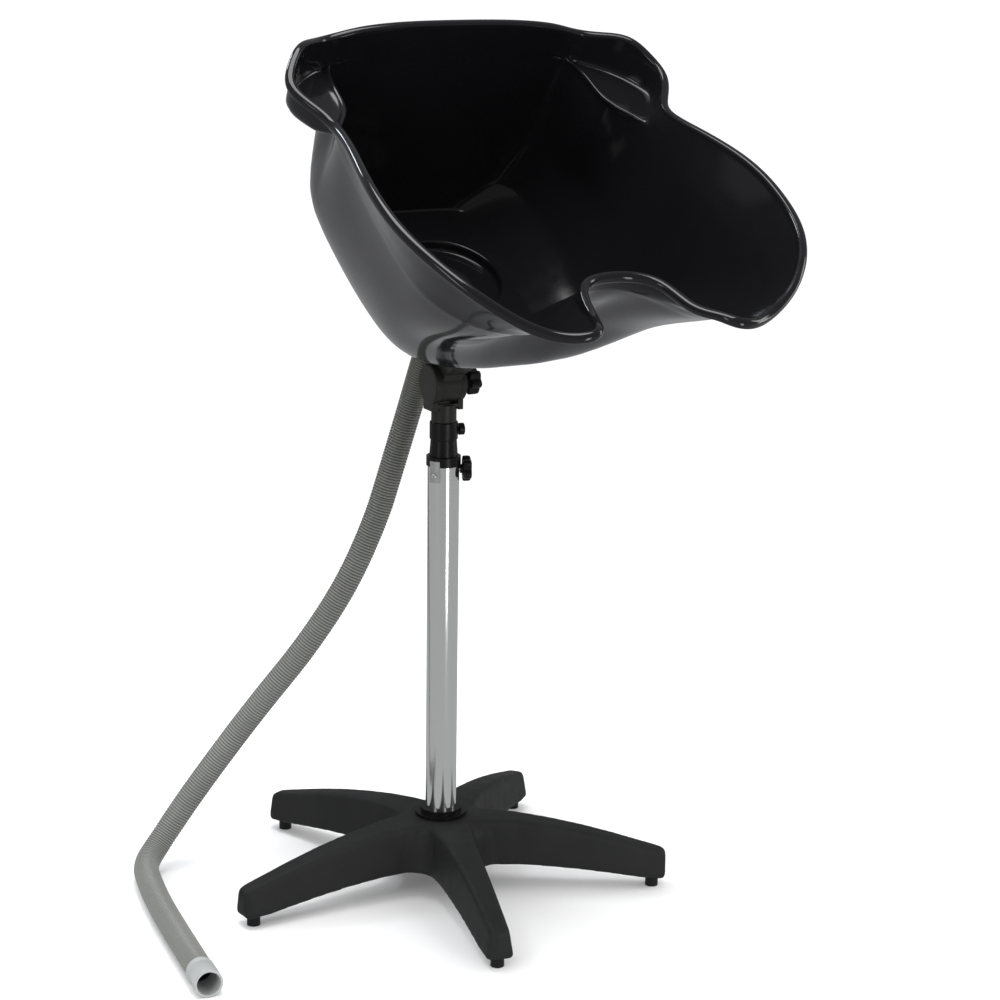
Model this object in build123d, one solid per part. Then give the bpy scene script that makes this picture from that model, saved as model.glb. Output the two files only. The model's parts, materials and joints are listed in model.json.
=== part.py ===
from build123d import *
import os
from math import cos, hypot, pi, radians, sin, tan

# Free-standing shampoo backwash basin on a height-adjustable five-arm stand.
# Millimetres. Z is up, the floor is z = 0, the pole stands on the Z axis,
# the basin faces -Y and its tilt axis runs along X.

# ---- driving dimensions ---------------------------------------------------
ARM_COUNT = 5
FIRST_ARM_DEG = 113.6
FOOT_CIRCLE_R = 264.0
FOOT_R = 8.0
FOOT_HEIGHT = 13.0
FOOT_STEM_R = 5.0
FOOT_STEM_LENGTH = 14.0
HUB_TOP = 88.0
HUB_UNDERSIDE = 31.0
HUB_R = 62.0
HUB_TOP_R = 46.0
HUB_WEB_TOP = 50.0
COLLAR_R = 31.7
COLLAR_NECK_R = 25.4
COLLAR_STEP = 4.5
ARM_WALL = 5.0
BOLT_R = 5.0
BOLT_HOLE_R = 5.2
BOLT_SEAT = 36.0

TUBE_R = 19.05
TUBE_WALL = 1.5
TUBE_TOP = 532.5
INNER_TUBE_R = 12.7
INNER_TUBE_WALL = 1.5
INNER_TUBE_BOTTOM = 120.0
GLIDE_HEIGHT = 20.0

FLANGE_R = 20.8
FLANGE_TOP = 544.0
BUSH_DEPTH = 52.0
COLLAR_TOP = 564.5
STOP_RING_TOP = 586.0
STOP_RING_R = 17.0
RUNNING_GAP = 0.05

TILT_AXIS_Z = 632.0
FORK_DISC_R = 24.5
FORK_INSIDE = 13.3
FORK_LEFT_FACE = 22.0
FORK_RIGHT_FACE = 20.0
SOCKET_R = 15.2
SOCKET_TOP = 609.0
BARREL_R = 22.0
TILT_BOLT_R = 4.0

BASIN_TILT = 30.0
BASIN_FLOOR_Z = 769.0
WALL = 4.0
LIP_DEPTH = 9.0
LIP_OVERHANG = 6.0
SUMP_R = 64.0
SUMP_DEPTH = 12.0
DRAIN_FORWARD = 12.0
DRAIN_HOLE_R = 22.0
OUTLET_LEVEL = -120.0

HOSE_R = 15.5
HOSE_WALL = 2.0
CUFF_R = 16.5
CUFF_LENGTH = 40.0

OUT = "parts"


# ---- helpers ----------------------------------------------------------------
def cylinder(radius, low, high, x=0.0, y=0.0):
    """Upright cylinder from z = low to z = high."""
    return Pos(x, y, (low + high) / 2) * Cylinder(radius, high - low)


def ring(outer, inner, low, high):
    """Upright ring around the Z axis."""
    return cylinder(outer, low, high) - cylinder(inner, low - 1, high + 1)


def revolved(points):
    """Solid of revolution about Z from a closed (radius, height) outline."""
    outline = Polyline(*[(r, 0, z) for r, z in points], close=True)
    return revolve(make_face(outline), Axis.Z)


def along_x(shape):
    """Turns an upright shape so that its +Z points along +X."""
    return Rot(0, 90, 0) * shape


def around_pole(shape, azimuth):
    return Rot(0, 0, azimuth) * shape


def in_basin(shape):
    """Places a shape drawn in the basin's own frame: X across, -Y forward, Z off the floor."""
    return Pos(0, 0, BASIN_FLOOR_Z) * Rot(BASIN_TILT, 0, 0) * shape


def at_drain(shape):
    """Places a shape drawn about Z on the drain's axis."""
    return in_basin(Pos(0, -DRAIN_FORWARD, 0) * shape)


def hexagon(across_flats, low, high):
    return Pos(0, 0, low) * extrude(RegularPolygon(across_flats / 2, 6, major_radius=False), high - low)


def pan_screw(head_r, head_height, shank_r, shank_length):
    """Cross-recess screw on Z, head downwards, shank going up from z = 0."""
    head = cylinder(head_r, -head_height, 0)
    head = fillet(head.edges().sort_by(Axis.Z)[0], head_height * 0.5)
    cross = Box(head_r * 1.1, 1.0, 1.6) + Box(1.0, head_r * 1.1, 1.6)
    return head + cylinder(shank_r, 0, shank_length) - Pos(0, 0, -head_height) * cross


def star_knob(radius, low, high, lobes, bore_r):
    """Lobed hand knob on Z with a boss underneath and a bore for its stud."""
    lobe_r = radius * 0.27
    body = cylinder(radius - lobe_r * 1.5, low, high)
    for k in range(lobes):
        turn = radians(360 * k / lobes)
        reach = radius - lobe_r
        body += cylinder(lobe_r, low + 1.5, high, reach * cos(turn), reach * sin(turn))
    return body - cylinder(bore_r, low - 1, high - 3)


# ---- stand ------------------------------------------------------------------
# Sections of an arm: distance out, half width at the bottom and top, underside, top.
ARM_SECTIONS = [
    (12.0, 36.0, 28.0, HUB_UNDERSIDE, HUB_TOP),
    (97.0, 26.0, 19.0, 30.5, 86.0),
    (173.0, 21.5, 15.5, 24.5, 74.0),
    (250.0, 18.5, 13.0, 14.5, 55.0),
    (281.0, 16.5, 11.5, FOOT_HEIGHT, 47.0),
]


def arm_face(section, inset, drop):
    """Trapezoid across an arm, drawn smaller by inset and reaching lower by drop."""
    out, low_half, top_half, low, top = section
    corners = [
        (out, low_half - inset, low - drop),
        (out, top_half - inset, top - inset),
        (out, inset - top_half, top - inset),
        (out, inset - low_half, low - drop),
    ]
    return make_face(Polyline(*corners, close=True))


def base_star():
    arm = loft([arm_face(s, 0, 0) for s in ARM_SECTIONS], ruled=True)
    tip_edges = arm.faces().sort_by(Axis.X)[-1].edges()
    arm = fillet(tip_edges, 5)
    hollow = loft([arm_face(s, ARM_WALL, 2) for s in ARM_SECTIONS[1:4]], ruled=True)
    arm -= Box(1000, 1000, 1000, align=(Align.MAX, Align.CENTER, Align.CENTER))
    socket_hole = cylinder(FOOT_STEM_R, 0, FOOT_HEIGHT + FOOT_STEM_LENGTH, FOOT_CIRCLE_R)
    boss = cylinder(FOOT_STEM_R + 4, FOOT_HEIGHT + 0.2, 50, FOOT_CIRCLE_R)
    arm = arm - hollow + boss - socket_hole
    star = revolved([
        (0, HUB_UNDERSIDE), (HUB_R, HUB_UNDERSIDE), (HUB_R - 3, HUB_TOP - 12),
        (HUB_TOP_R, HUB_TOP), (0, HUB_TOP),
    ])
    for k in range(ARM_COUNT):
        star += around_pole(arm, FIRST_ARM_DEG + 360 * k / ARM_COUNT)
    star -= cylinder(TUBE_R, HUB_WEB_TOP, HUB_TOP + 1)
    star -= cylinder(BOLT_HOLE_R, 0, HUB_WEB_TOP + 1)
    return star - cylinder(14, HUB_UNDERSIDE - 1, BOLT_SEAT + 2)


def foot_glides():
    foot = cylinder(FOOT_R, 0, FOOT_HEIGHT)
    foot += cylinder(FOOT_STEM_R, FOOT_HEIGHT, FOOT_HEIGHT + FOOT_STEM_LENGTH)
    feet = []
    for k in range(ARM_COUNT):
        turn = radians(FIRST_ARM_DEG + 360 * k / ARM_COUNT)
        feet.append(Pos(FOOT_CIRCLE_R * cos(turn), FOOT_CIRCLE_R * sin(turn), 0) * foot)
    return Compound(feet)


def hub_collar():
    """Two-step trim ring where the column enters the hub."""
    step = HUB_TOP + COLLAR_STEP
    return ring(COLLAR_R, TUBE_R, HUB_TOP, step) + ring(COLLAR_NECK_R, TUBE_R, step, step + 5)


def outer_tube():
    tube = ring(TUBE_R, TUBE_R - TUBE_WALL, HUB_WEB_TOP, TUBE_TOP)
    hole = along_x(cylinder(3.2, 0, TUBE_R + 5))
    return tube - Pos(0, 0, KNOB_Z) * around_pole(hole, KNOB_DEG)


def column_plug():
    """Threaded plug pressed into the foot of the column."""
    return ring(TUBE_R - TUBE_WALL, BOLT_R, HUB_WEB_TOP, 84)


def column_washer():
    return ring(12, BOLT_HOLE_R, BOLT_SEAT, BOLT_SEAT + 2)


def column_bolt():
    """Bolt from below that pulls the column down into the hub."""
    return cylinder(BOLT_R, BOLT_SEAT, 78) + hexagon(17, BOLT_SEAT - 6.4, BOLT_SEAT)


# ---- height clamp -----------------------------------------------------------
KNOB_Z = 527.0
KNOB_DEG = -20.0
TAB_DEG = 212.0
TAB_HALF_DEG = 19.0
TAB_LOW = 514.0
TAB_HIGH = 540.0


def wedge(half_angle, reach, low, high):
    """Upright prism that covers +-half_angle about +X, out to reach."""
    side = reach * tan(radians(half_angle))
    corner = make_face(Polyline((0, 0), (reach, side), (reach, -side), close=True))
    return Pos(0, 0, low) * extrude(corner, high - low)


def guide_bush():
    """Plastic bush in the tube's mouth, with the flange that caps the tube."""
    bore = INNER_TUBE_R + RUNNING_GAP
    bush = ring(TUBE_R - TUBE_WALL, bore, TUBE_TOP - BUSH_DEPTH, TUBE_TOP)
    flange = ring(FLANGE_R, bore, TUBE_TOP, FLANGE_TOP)
    flange -= around_pole(wedge(TAB_HALF_DEG + 3, 60, TUBE_TOP, TAB_HIGH + 1), TAB_DEG) - cylinder(
        TUBE_R, TUBE_TOP - 1, FLANGE_TOP
    )
    hole = along_x(cylinder(3.2, INNER_TUBE_R, TUBE_R + 5))
    return bush + flange - Pos(0, 0, KNOB_Z) * around_pole(hole, KNOB_DEG)


def lock_tab():
    """Thin curved plate that keeps the bush from turning in the tube."""
    plate = ring(TUBE_R + 2.2, TUBE_R, TAB_LOW, TAB_HIGH)
    plate &= around_pole(wedge(TAB_HALF_DEG, 60, TAB_LOW, TAB_HIGH), TAB_DEG)
    hole = along_x(cylinder(1.5, 0, 40))
    return plate - Pos(0, 0, TAB_LOW + 8) * around_pole(hole, TAB_DEG)


def lock_tab_screw():
    screw = Rot(180, 0, 0) * pan_screw(3.6, 1.8, 1.5, 2.2)
    screw = Pos(TUBE_R + 2.2, 0, 0) * along_x(screw)
    return Pos(0, 0, TAB_LOW + 8) * around_pole(screw, TAB_DEG)


def at_height_knob(shape):
    return Pos(0, 0, KNOB_Z) * around_pole(along_x(shape), KNOB_DEG)


def height_knob():
    knob = star_knob(16, TUBE_R + 4, TUBE_R + 14, 5, 3.0)
    return at_height_knob(knob + ring(5.5, 3.0, TUBE_R + 0.8, TUBE_R + 4))


def height_knob_stud():
    return at_height_knob(cylinder(3.0, INNER_TUBE_R + 0.3, TUBE_R + 11))


def thrust_collar():
    """Tapered ring on the flange: the stop ring rests on it and turns with it."""
    bore = INNER_TUBE_R + RUNNING_GAP
    return revolved([(bore, FLANGE_TOP), (17.2, FLANGE_TOP), (15.7, COLLAR_TOP), (bore, COLLAR_TOP)])


# ---- sliding column -----------------------------------------------------------
SET_SCREW_DEG = -10.0
SET_SCREW_Z = (COLLAR_TOP + STOP_RING_TOP) / 2


def inner_tube():
    return ring(INNER_TUBE_R, INNER_TUBE_R - INNER_TUBE_WALL, INNER_TUBE_BOTTOM, SOCKET_TOP - 4)


def inner_tube_glide():
    low = INNER_TUBE_BOTTOM
    return ring(TUBE_R - TUBE_WALL - RUNNING_GAP, INNER_TUBE_R, low, low + GLIDE_HEIGHT)


def stop_ring():
    body = ring(STOP_RING_R, INNER_TUBE_R, COLLAR_TOP, STOP_RING_TOP)
    circles = body.edges().filter_by(GeomType.CIRCLE).group_by(Axis.Z)
    outer_rims = [level.sort_by(SortBy.RADIUS)[-1] for level in (circles[0], circles[-1])]
    body = fillet(outer_rims, 1.2)
    hole = along_x(cylinder(2.55, 0, 40))
    return body - Pos(0, 0, SET_SCREW_Z) * around_pole(hole, SET_SCREW_DEG)


def stop_ring_screw():
    head = cylinder(7.2, STOP_RING_R + 1, STOP_RING_R + 8)
    head = fillet(head.edges().filter_by(GeomType.CIRCLE), 1)
    screw = head + cylinder(2.5, INNER_TUBE_R + 0.2, STOP_RING_R + 2)
    return Pos(0, 0, SET_SCREW_Z) * around_pole(along_x(screw), SET_SCREW_DEG)


# ---- tilt joint -----------------------------------------------------------------
def at_tilt_axis(shape):
    return Pos(0, 0, TILT_AXIS_Z) * along_x(shape)


def tilt_fork():
    """Socket on the inner tube with two round cheeks that hold the bracket's barrel."""
    left = cylinder(FORK_DISC_R, -FORK_LEFT_FACE, -FORK_INSIDE)
    left = fillet(left.edges().sort_by(Axis.Z)[0], 2.5)
    right = cylinder(BARREL_R, FORK_INSIDE, FORK_RIGHT_FACE)
    cheeks = at_tilt_axis(left + right)
    bridge_low = SOCKET_TOP - 5
    bridge = Pos(-1, 0, bridge_low + 2.3) * Box(FORK_LEFT_FACE + FORK_RIGHT_FACE - 2, 24, 4.6)
    gusset_left = Pos(-FORK_INSIDE - 4.2, 0, SOCKET_TOP) * Box(7.8, 24, 16)
    gusset_right = Pos(FORK_INSIDE + 3.2, 0, SOCKET_TOP) * Box(6.2, 24, 16)
    fork = cheeks + bridge + gusset_left + gusset_right
    fork += cylinder(SOCKET_R, STOP_RING_TOP, bridge_low + 3)
    fork -= cylinder(INNER_TUBE_R, STOP_RING_TOP - 1, SOCKET_TOP - 4)
    return fork - at_tilt_axis(cylinder(TILT_BOLT_R, -FORK_LEFT_FACE + 3, FORK_RIGHT_FACE + 1))


def tilt_bolt():
    bolt = cylinder(TILT_BOLT_R, -FORK_LEFT_FACE + 3, FORK_RIGHT_FACE + 20)
    return at_tilt_axis(bolt)


def tilt_washer():
    return at_tilt_axis(ring(11, TILT_BOLT_R, FORK_RIGHT_FACE, FORK_RIGHT_FACE + 1.5))


def tilt_knob():
    low = FORK_RIGHT_FACE + 1.6
    knob = star_knob(16.5, low + 8, low + 22, 6, TILT_BOLT_R + RUNNING_GAP)
    boss = ring(10, TILT_BOLT_R + RUNNING_GAP, low, low + 8)
    return at_tilt_axis(knob + boss)


PLATE_TOP = -WALL - 8.0
PLATE_THICKNESS = 5.0
PLATE_BACK = 84.0
PLATE_FRONT = 150.0
PLATE_HALF_WIDTH = 40.0
SCREW_ACROSS = 30.0
SCREW_BACK = 94.0
SCREW_FRONT = 140.0


def tilt_axis_in_basin():
    """Where the tilt axis lies in the basin's frame: (forward, height)."""
    drop = TILT_AXIS_Z - BASIN_FLOOR_Z
    return -drop * sin(radians(BASIN_TILT)), drop * cos(radians(BASIN_TILT))


def plate_section(half_width, back, front, level):
    corners = [
        (half_width, -back, level), (half_width, -front, level),
        (-half_width, -front, level), (-half_width, -back, level),
    ]
    return make_face(Polyline(*corners, close=True))


def screw_places():
    return [(x, -f) for x in (-SCREW_ACROSS, SCREW_ACROSS) for f in (SCREW_BACK, SCREW_FRONT)]


def tilt_bracket():
    """Barrel on the tilt axis, web and plate that carry the basin."""
    forward, level = tilt_axis_in_basin()
    web_top = PLATE_TOP - PLATE_THICKNESS
    web = loft([
        plate_section(FORK_INSIDE - 0.4, forward - 10, forward + 14, level + 4),
        plate_section(FORK_INSIDE - 0.4, forward - 10, forward + 16, level + BARREL_R + 4),
        plate_section(24, PLATE_BACK + 2, PLATE_FRONT - 16, web_top),
    ], ruled=True)
    plate = Pos(0, -(PLATE_BACK + PLATE_FRONT) / 2, PLATE_TOP - PLATE_THICKNESS / 2) * Box(
        2 * PLATE_HALF_WIDTH, PLATE_FRONT - PLATE_BACK, PLATE_THICKNESS
    )
    plate = fillet(plate.edges().filter_by(Axis.Z), 8)
    body = web + plate
    for x, y in screw_places():
        body -= cylinder(2.3, web_top - 1, PLATE_TOP + 1, x, y)
    body = in_basin(body)
    barrel = at_tilt_axis(cylinder(BARREL_R, -FORK_INSIDE + 0.3, FORK_INSIDE - 0.3))
    bore = at_tilt_axis(cylinder(TILT_BOLT_R + RUNNING_GAP, -40, 40))
    return body + barrel - bore


def bracket_screws():
    screw = pan_screw(4.5, 3, 2.0, PLATE_THICKNESS + 6)
    level = PLATE_TOP - PLATE_THICKNESS
    return Compound([in_basin(Pos(x, y, level) * screw) for x, y in screw_places()])


# ---- basin ----------------------------------------------------------------------
# Half outlines of the bowl's inside at rising levels, as (across, forward), from the middle
# of the back, past the ear and the wing, to the middle of the neck notch. The shoulder's and
# the rim's points also have their height off the floor.
BOWL_FLOOR = [
    (0, -112), (30, -112), (50, -111), (64, -107), (71, -98), (75, -84), (76, -65),
    (76, -40), (76, -10), (75, 22), (74, 58), (73, 95), (71, 122), (66, 142),
    (57, 153), (46, 158), (36, 160), (27, 161), (18, 162), (9, 162), (0, 162),
]
BOWL_SHOULDER = [
    (0, -118, 38), (50, -118, 38), (85, -117, 38), (108, -113, 38), (120, -104, 37), (128, -92, 36),
    (134, -75, 34), (138, -52, 32), (140, -20, 29), (140, 20, 26), (137, 62, 22), (131, 102, 18),
    (120, 136, 14), (104, 158, 11), (86, 170, 10), (68, 176, 9), (52, 179, 9), (38, 181, 9),
    (26, 182, 9), (12, 182, 9), (0, 182, 9),
]
BOWL_WALL = [
    (0, -119), (65, -119), (115, -118), (138, -114), (148, -102), (156, -85), (163, -65),
    (170, -42), (176, -10), (179, 30), (180, 85), (180, 140), (176, 191), (158, 223),
    (131, 238), (104, 240), (81, 236), (61, 231), (43, 227), (22, 223), (0, 222),
]
BOWL_BELOW_EARS = [
    (0, -118), (70, -118), (125, -117), (152, -112), (159, -95), (162, -75), (163, -50),
    (168, -25), (183, 0), (195, 30), (201, 90), (206, 165), (207, 240), (196, 302),
    (160, 345), (117, 357), (87, 352), (67, 336), (49, 317), (27, 302), (0, 297),
]
RIM = [
    (0, -116, 264), (70, -114, 264), (125, -111, 260), (158, -110, 252), (182, -98, 256),
    (204, -80, 262), (221, -58, 256), (229, -30, 247), (214, 3, 243), (204, 38, 243),
    (213, 98, 257), (228, 175, 271), (229, 250, 276), (212, 318, 277), (174, 374, 268),
    (127, 406, 257), (91, 420, 263), (76, 402, 258), (64, 370, 246), (47, 322, 241), (0, 303, 238),
]
EAR_POINTS = range(3, 9)
WALL_LEVEL = 100.0
EAR_LEDGE = 212.0
EAR_STEP = 4.0


def grown(points, distance):
    """Outline moved outwards by a distance, point by point."""
    count = len(points)
    moved = []
    for k, (x, y) in enumerate(points):
        ahead, behind = points[(k + 1) % count], points[k - 1]
        dx, dy = ahead[0] - behind[0], ahead[1] - behind[1]
        length = hypot(dx, dy)
        moved.append((x - dy / length * distance, y + dx / length * distance))
    return moved


def closed_curve(half, distance, level, lowered=0.0):
    """Closed spline around the bowl, at one level or, with no level, along the rim."""
    right = [(p[0], -p[1]) for p in half]
    whole = right + [(-x, y) for x, y in reversed(right[1:-1])]
    heights = [p[2] if level is None else level for p in half]
    heights += heights[-2:0:-1]
    points = [(x, y, z - lowered) for (x, y), z in zip(grown(whole, distance), heights)]
    return Spline(*points, periodic=True)


def wall_curves(distance, lowered, rim_lowered):
    """Curves that one side of the wall runs through, from the floor to the rim."""
    above_ledge = [RIM[k][:2] if k in EAR_POINTS else p for k, p in enumerate(BOWL_BELOW_EARS)]
    return [
        closed_curve(BOWL_FLOOR, distance, 0.0, lowered),
        closed_curve(BOWL_SHOULDER, distance, None, lowered),
        closed_curve(BOWL_WALL, distance, WALL_LEVEL, lowered),
        closed_curve(BOWL_BELOW_EARS, distance, EAR_LEDGE, lowered),
        closed_curve(above_ledge, distance, EAR_LEDGE + EAR_STEP, lowered),
        closed_curve(RIM, distance, None, rim_lowered),
    ]


def ruled_faces(curves):
    return [Face.make_surface_from_curves(a, b) for a, b in zip(curves, curves[1:])]


def circle_edge(radius, x, y, level):
    return Edge.make_circle(radius, Plane((x, y, level)))


def flat_face(outer, holes=()):
    return Face(Wire([outer]), [Wire([hole]) for hole in holes])


def basin_bowl():
    """One thin moulding: bowl, ears, rolled lip, sump and screw bosses."""
    inside = wall_curves(0, 0, 0)
    outside = wall_curves(WALL, WALL, LIP_DEPTH)
    lip = [
        outside[-1],
        closed_curve(RIM, WALL + LIP_OVERHANG, None, LIP_DEPTH),
        closed_curve(RIM, WALL + LIP_OVERHANG, None),
        inside[-1],
    ]
    drain = (0, -DRAIN_FORWARD)
    sump_inside = [
        circle_edge(SUMP_R, *drain, 0),
        circle_edge(SUMP_R, *drain, -SUMP_DEPTH),
    ]
    sump_outside = [
        circle_edge(SUMP_R + WALL, *drain, -WALL),
        circle_edge(SUMP_R + WALL, *drain, -SUMP_DEPTH - WALL),
    ]
    hole = [
        circle_edge(DRAIN_HOLE_R, *drain, -SUMP_DEPTH),
        circle_edge(DRAIN_HOLE_R, *drain, -SUMP_DEPTH - WALL),
    ]
    faces = ruled_faces(inside) + ruled_faces(outside) + ruled_faces(lip)
    faces += ruled_faces(sump_inside) + ruled_faces(sump_outside) + ruled_faces(hole)
    faces.append(flat_face(inside[0], [sump_inside[0]]))
    faces.append(flat_face(outside[0], [sump_outside[0]]))
    faces.append(flat_face(sump_inside[1], [hole[0]]))
    faces.append(flat_face(sump_outside[1], [hole[1]]))
    bowl = Solid(Shell(faces))
    for x, y in screw_places():
        bowl += cylinder(7, PLATE_TOP, -WALL + 1, x, y)
    for x, y in screw_places():
        bowl -= cylinder(2.0, PLATE_TOP - 1, PLATE_TOP + 6.5, x, y)
    return in_basin(bowl)


# ---- drain ----------------------------------------------------------------------
SUMP_FLOOR = -SUMP_DEPTH
SUMP_UNDERSIDE = -SUMP_DEPTH - WALL
DRAIN_TUBE_R = 20.5
DRAIN_BORE_R = 17.0
TRAP_R = 40.0
TRAP_TOP = -36.0
TRAP_SHOULDER = -97.0


def drain_flange():
    """Flanged threaded tube through the sump's hole."""
    body = ring(30, DRAIN_BORE_R, SUMP_FLOOR, SUMP_FLOOR + 2)
    return at_drain(body + ring(DRAIN_TUBE_R, DRAIN_BORE_R, TRAP_TOP - 8, SUMP_FLOOR))


def drain_strainer():
    """Slotted grid that catches hair."""
    disc = ring(DRAIN_BORE_R, 3, SUMP_FLOOR - 2, SUMP_FLOOR)
    for k in range(8):
        slot = Pos(10, 0, SUMP_FLOOR - 1) * Box(9, 3, 4)
        disc -= around_pole(slot, 45 * k)
    return at_drain(disc + cylinder(3, SUMP_FLOOR - 2, SUMP_FLOOR + 3))


def drain_gasket():
    return at_drain(ring(30, DRAIN_TUBE_R, SUMP_UNDERSIDE - 3, SUMP_UNDERSIDE))


def drain_nut():
    nut = hexagon(56, SUMP_UNDERSIDE - 13, SUMP_UNDERSIDE - 3)
    return at_drain(nut - cylinder(DRAIN_TUBE_R, -60, 0))


def trap_cup():
    """Hair-trap cup that screws on the drain tube and narrows to the hose outlet."""
    outer = revolved([
        (0, OUTLET_LEVEL), (HOSE_R, OUTLET_LEVEL), (HOSE_R, OUTLET_LEVEL + 3),
        (TRAP_R, TRAP_SHOULDER), (TRAP_R, TRAP_TOP), (0, TRAP_TOP),
    ])
    inner = revolved([
        (0, OUTLET_LEVEL - 1), (HOSE_R - 3, OUTLET_LEVEL - 1), (HOSE_R - 3, OUTLET_LEVEL + 5),
        (TRAP_R - 3, TRAP_SHOULDER + 2), (TRAP_R - 3, TRAP_TOP - 4), (0, TRAP_TOP - 4),
    ])
    return at_drain(outer - inner - cylinder(DRAIN_TUBE_R, TRAP_TOP - 10, TRAP_TOP + 1))


def trap_seal():
    return at_drain(ring(25, DRAIN_TUBE_R, TRAP_TOP, TRAP_TOP + 2.5))


# ---- drain hose -------------------------------------------------------------------
# Points of the route from the trap's outlet to the open end on the floor.
SPLIT = (-34.8, 95.8, 473.6)
UPPER_ROUTE = [(0.0, 49.6, 659.1), (0.0, 65.6, 631.4), (-6.0, 85.0, 578.0), SPLIT]
LOWER_ROUTE = [
    SPLIT, (-42.0, 98.5, 447.5), (-78.0, 106.0, 366.0), (-126.0, 124.0, 286.0), (-180.0, 150.0, 210.0),
    (-226.0, 170.0, 142.0), (-268.0, 182.0, 82.0), (-302.0, 186.0, 34.0), (-330.0, 164.0, 17.0),
    (-343.0, 110.0, 16.5), (-356.0, 40.0, 16.5), (-368.0, -50.0, 16.5), (-380.0, -150.0, 16.5),
]


def corner_radii(points):
    """Radius of each corner of a route: as large as its two runs allow."""
    radii = []
    for a, b, c in zip(points, points[1:], points[2:]):
        before, after = Vector(*b) - Vector(*a), Vector(*c) - Vector(*b)
        turn = radians(before.get_angle(after))
        radii.append(0.45 * min(before.length, after.length) / tan(turn / 2))
    return radii


def hose_tube(points, name):
    radii = corner_radii(points)
    path = FilletPolyline(*points, radius=radii)
    print(name, "length", round(path.length, 1), "radii", [round(r) for r in radii])
    section = Plane(path @ 0, z_dir=path % 0) * (Circle(HOSE_R) - Circle(HOSE_R - HOSE_WALL))
    tube = sweep(section, path)
    area = pi * (HOSE_R**2 - (HOSE_R - HOSE_WALL) ** 2)
    print(name, "volume ratio", round(tube.volume / (area * path.length), 4))
    return tube


def hose_end_cuff():
    before, end = [Vector(*p) for p in LOWER_ROUTE[-2:]]
    cuff = ring(CUFF_R, HOSE_R - HOSE_WALL, 0, CUFF_LENGTH)
    return Plane(end, z_dir=end - before) * cuff


def main():
    os.makedirs(OUT, exist_ok=True)
    nodes = {
        "base_star": base_star(),
        "foot_glides": foot_glides(),
        "hub_collar": hub_collar(),
        "outer_tube": outer_tube(),
        "column_plug": column_plug(),
        "column_washer": column_washer(),
        "column_bolt": column_bolt(),
        "guide_bush": guide_bush(),
        "lock_tab": lock_tab(),
        "lock_tab_screw": lock_tab_screw(),
        "height_knob": height_knob(),
        "height_knob_stud": height_knob_stud(),
        "thrust_collar": thrust_collar(),
        "inner_tube": inner_tube(),
        "inner_tube_glide": inner_tube_glide(),
        "stop_ring": stop_ring(),
        "stop_ring_screw": stop_ring_screw(),
        "tilt_fork": tilt_fork(),
        "tilt_bolt": tilt_bolt(),
        "tilt_washer": tilt_washer(),
        "tilt_knob": tilt_knob(),
        "tilt_bracket": tilt_bracket(),
        "bracket_screws": bracket_screws(),
        "basin_bowl": basin_bowl(),
        "drain_flange": drain_flange(),
        "drain_strainer": drain_strainer(),
        "drain_gasket": drain_gasket(),
        "drain_nut": drain_nut(),
        "trap_seal": trap_seal(),
        "trap_cup": trap_cup(),
        "hose_upper": hose_tube(UPPER_ROUTE, "hose_upper"),
        "hose_lower": hose_tube(LOWER_ROUTE, "hose_lower"),
        "hose_end_cuff": hose_end_cuff(),
    }
    for name, shape in nodes.items():
        export_step(shape, os.path.join(OUT, name + ".step"))


main()
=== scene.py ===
import json
from math import cos, pi, radians, sin

import bmesh
import bpy
import numpy as np
from mathutils import Matrix, Vector


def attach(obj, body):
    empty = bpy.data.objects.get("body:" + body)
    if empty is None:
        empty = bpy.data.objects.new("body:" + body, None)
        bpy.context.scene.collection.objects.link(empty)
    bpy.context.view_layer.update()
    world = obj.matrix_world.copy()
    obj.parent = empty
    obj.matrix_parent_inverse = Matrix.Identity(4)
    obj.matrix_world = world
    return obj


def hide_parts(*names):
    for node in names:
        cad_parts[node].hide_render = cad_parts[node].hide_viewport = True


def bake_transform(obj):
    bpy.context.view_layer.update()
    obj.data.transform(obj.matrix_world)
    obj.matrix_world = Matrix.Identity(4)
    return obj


# Free-standing shampoo backwash basin. Metres, except where a name or comment says mm.
# The pole stands on Z, the floor is z = 0, the basin faces -Y and tilts about X.

MM = 0.001
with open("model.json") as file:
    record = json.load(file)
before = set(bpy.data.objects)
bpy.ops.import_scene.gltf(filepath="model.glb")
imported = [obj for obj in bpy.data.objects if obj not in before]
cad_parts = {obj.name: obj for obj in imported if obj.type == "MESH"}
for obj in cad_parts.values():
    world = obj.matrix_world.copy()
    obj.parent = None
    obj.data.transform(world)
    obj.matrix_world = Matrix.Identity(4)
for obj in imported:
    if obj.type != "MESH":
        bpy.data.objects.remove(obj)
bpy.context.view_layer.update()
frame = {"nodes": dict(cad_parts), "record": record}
scene = bpy.context.scene

# ---- camera -------------------------------------------------------------------
CAMERA_PLACE = (-1.32814, -2.60662, 1.23176)
CAMERA_YAW = 0.494619
CAMERA_PITCH = 0.2485466
CAMERA_ROLL = 0.0136805
CAMERA_LENS_MM = 90.22


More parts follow.
